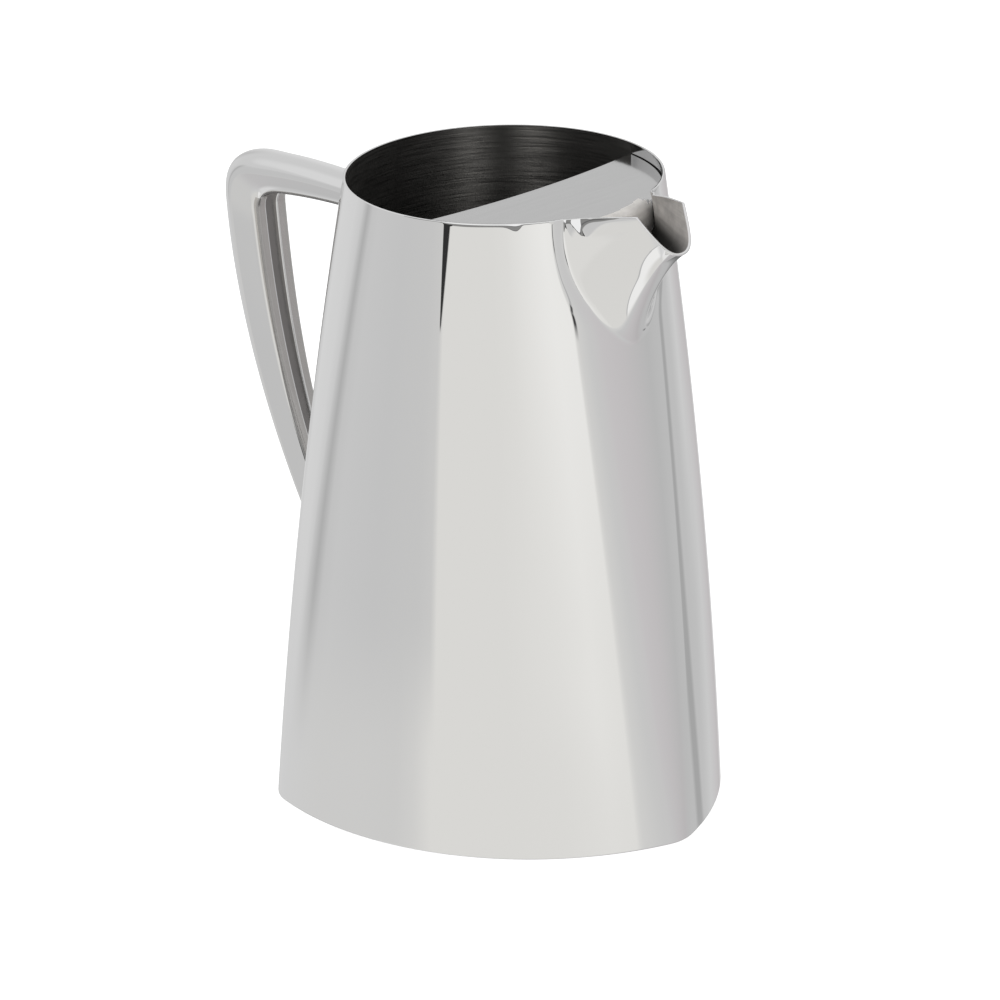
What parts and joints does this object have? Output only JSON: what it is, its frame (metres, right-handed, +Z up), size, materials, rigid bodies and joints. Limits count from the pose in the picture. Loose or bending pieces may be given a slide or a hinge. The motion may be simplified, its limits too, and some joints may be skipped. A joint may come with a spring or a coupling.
{
  "type": "water pitcher with ice guard",
  "caption": "Tapered sheet-steel water pitcher with a round rim, a rounded triangular foot, a beak spout behind an ice guard, and a channel-shaped handle.",
  "frame": {"origin": "where the axis of the round rim meets the resting plane under the foot", "axes": "+Z up through the rim, +X towards the spout, -X towards the handle, symmetric about Y = 0"},
  "size_m": [0.2075, 0.1426, 0.2084],
  "materials": {
    "polished_steel": "mirror-polished stainless steel",
    "brushed_steel": "fine brushed stainless steel"
  },
  "bodies": {
    "root": {"body_wall": "polished_steel", "base_plate": "brushed_steel", "spout": "polished_steel", "ice_guard": "brushed_steel", "handle_shell": "polished_steel", "handle_liner": "brushed_steel"}
  },
  "joints": []
}
